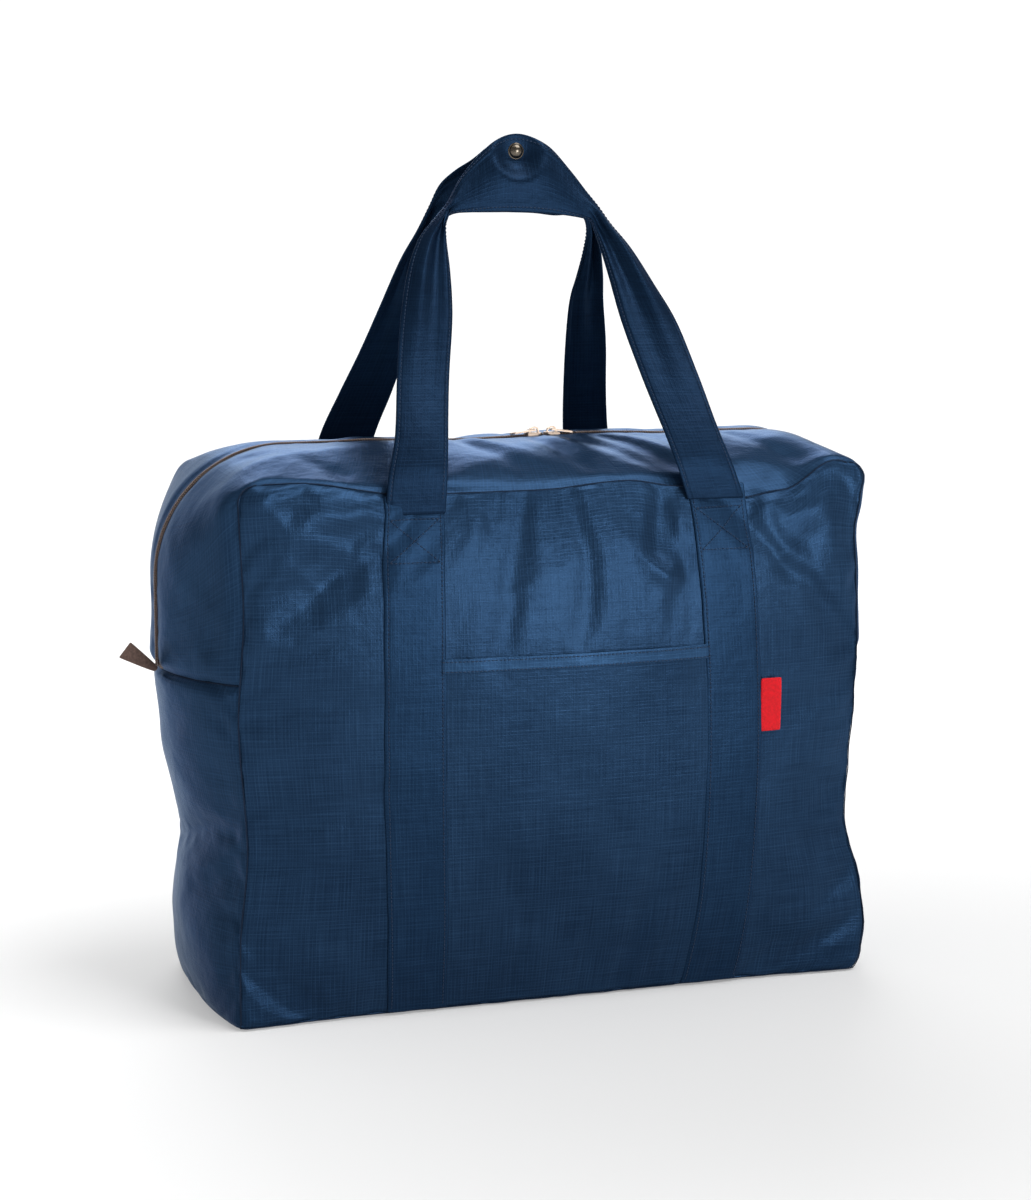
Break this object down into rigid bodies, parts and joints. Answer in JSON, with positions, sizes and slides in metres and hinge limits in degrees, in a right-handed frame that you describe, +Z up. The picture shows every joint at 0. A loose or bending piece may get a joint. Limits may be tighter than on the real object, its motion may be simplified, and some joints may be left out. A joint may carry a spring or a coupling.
{
  "type": "foldable tote bag",
  "caption": "Zipped travel tote in thin ripstop cloth with two snap-together carry handles, a slip pocket in front and a packing pouch inside.",
  "frame": {"origin": "middle of the base, on the surface it stands on", "axes": "X along the bag, -Y towards the front pocket, +Z up"},
  "size_m": [0.5718, 0.23, 0.631],
  "materials": {
    "bag_cloth": "navy ripstop polyester, satin",
    "strap_cloth": "navy ripstop polyester, folded and stitched",
    "zip_tape": "brown woven tape",
    "zip_coil": "nylon coil",
    "zip_metal": "pale bronze plated",
    "snap_metal": "dark gunmetal",
    "label_cloth": "red woven ribbon",
    "binding_tape": "navy grosgrain tape"
  },
  "bodies": {
    "bag": {"front_panel": "bag_cloth", "back_panel": "bag_cloth", "base_panel": "bag_cloth", "side_panel_left": "bag_cloth", "side_panel_right": "bag_cloth", "gusset_front_left": "bag_cloth", "gusset_front_right": "bag_cloth", "gusset_back_left": "bag_cloth", "gusset_back_right": "bag_cloth", "zip_tape_front_left": "zip_tape", "zip_tape_front_right": "zip_tape", "zip_tape_back_left": "zip_tape", "zip_tape_back_right": "zip_tape", "zip_coil_front_left": "zip_coil", "zip_coil_front_right": "zip_coil", "zip_coil_back_left": "zip_coil", "zip_coil_back_right": "zip_coil", "strap_front_left": "strap_cloth", "strap_front_right": "strap_cloth", "strap_back_left": "strap_cloth", "strap_back_right": "strap_cloth", "front_pocket": "bag_cloth", "front_pocket_hem": "bag_cloth", "seam_binding_front": "binding_tape", "seam_binding_back": "binding_tape", "pouch_panel": "bag_cloth", "pouch_zip_tape": "zip_tape", "pouch_zip_coil": "zip_coil"},
    "flap_front": {"gusset_front_top": "bag_cloth", "zip_tape_front_top": "zip_tape", "zip_coil_front_top": "zip_coil"},
    "flap_back": {"gusset_back_top": "bag_cloth", "zip_tape_back_top": "zip_tape", "zip_coil_back_top": "zip_coil"},
    "slider_left": {"zip_slider_left": "zip_metal"},
    "slider_right": {"zip_slider_right": "zip_metal"},
    "pull_left": {"zip_pull_left": "zip_metal"},
    "pull_right": {"zip_pull_right": "zip_metal"},
    "handle_front": {"handle_front": "strap_cloth", "snap_cap": "snap_metal", "snap_socket": "snap_metal"},
    "handle_back": {"handle_back": "strap_cloth", "snap_stud": "snap_metal", "snap_post": "snap_metal"},
    "label": {"side_label": "label_cloth"},
    "tab_left": {"zip_end_tab_left": "zip_tape"},
    "tab_right": {"zip_end_tab_right": "zip_tape"},
    "pouch_slider": {"pouch_zip_slider": "zip_metal"},
    "pouch_pull": {"pouch_zip_pull": "zip_metal"}
  },
  "joints": [
    {"name": "flap_front_lift", "type": "hinge", "parent": "bag", "child": "flap_front", "pos_m": [0, -0.0934, 0.39], "axis": [1, 0, 0], "range_deg": [0, 45], "deforming": ["zip_tape_front_top", "zip_coil_front_top"]},
    {"name": "flap_back_lift", "type": "hinge", "parent": "bag", "child": "flap_back", "pos_m": [0, 0.0934, 0.39], "axis": [-1, 0, 0], "range_deg": [0, 45], "deforming": ["zip_tape_back_top", "zip_coil_back_top"]},
    {"name": "slider_left_slide", "type": "slide", "parent": "bag", "child": "slider_left", "axis": [-1, 0, 0], "range_m": [0, 0.1866]},
    {"name": "slider_right_slide", "type": "slide", "parent": "bag", "child": "slider_right", "axis": [1, 0, 0], "range_m": [0, 0.1506]},
    {"name": "pull_left_flip", "type": "hinge", "parent": "slider_left", "child": "pull_left", "pos_m": [0.011, 0, 0.4123], "axis": [0, 1, 0], "range_deg": [0, 110]},
    {"name": "pull_right_flip", "type": "hinge", "parent": "slider_right", "child": "pull_right", "pos_m": [0.025, 0, 0.4123], "axis": [0, -1, 0], "range_deg": [0, 110]},
    {"name": "handle_front_swing", "type": "hinge", "parent": "bag", "child": "handle_front", "pos_m": [0, -0.0986, 0.38], "axis": [1, 0, 0], "range_deg": [0, 165]},
    {"name": "handle_back_swing", "type": "hinge", "parent": "bag", "child": "handle_back", "pos_m": [0, 0.0986, 0.38], "axis": [-1, 0, 0], "range_deg": [0, 165]},
    {"name": "label_flip", "type": "hinge", "parent": "bag", "child": "label", "pos_m": [0.1513, -0.10711, 0.214], "axis": [0, 0, -1], "range_deg": [0, 80]},
    {"name": "tab_left_flex", "type": "hinge", "parent": "bag", "child": "tab_left", "pos_m": [-0.2795, 0, 0.248], "axis": [0, 1, 0], "range_deg": [-25, 25], "stiffness_Nm_per_rad": 0.02},
    {"name": "tab_right_flex", "type": "hinge", "parent": "bag", "child": "tab_right", "pos_m": [0.2634, 0, 0.2485], "axis": [0, -1, 0], "range_deg": [0, 75], "stiffness_Nm_per_rad": 0.005},
    {"name": "pouch_slider_slide", "type": "slide", "parent": "bag", "child": "pouch_slider", "axis": [1, 0, 0], "range_m": [0, 0.156]},
    {"name": "pouch_pull_swing", "type": "hinge", "parent": "pouch_slider", "child": "pouch_pull", "pos_m": [-0.078, 0.0937, 0.3345], "axis": [-1, 0, 0], "range_deg": [0, 90]}
  ],
  "couplings": [
    {"joint": "flap_back_lift", "follows": "flap_front_lift", "ratio": 1},
    {"joint": "slider_left_slide", "follows": "flap_front_lift", "m_per_rad": 0.2373},
    {"joint": "slider_right_slide", "follows": "flap_front_lift", "m_per_rad": 0.1915}
  ]
}
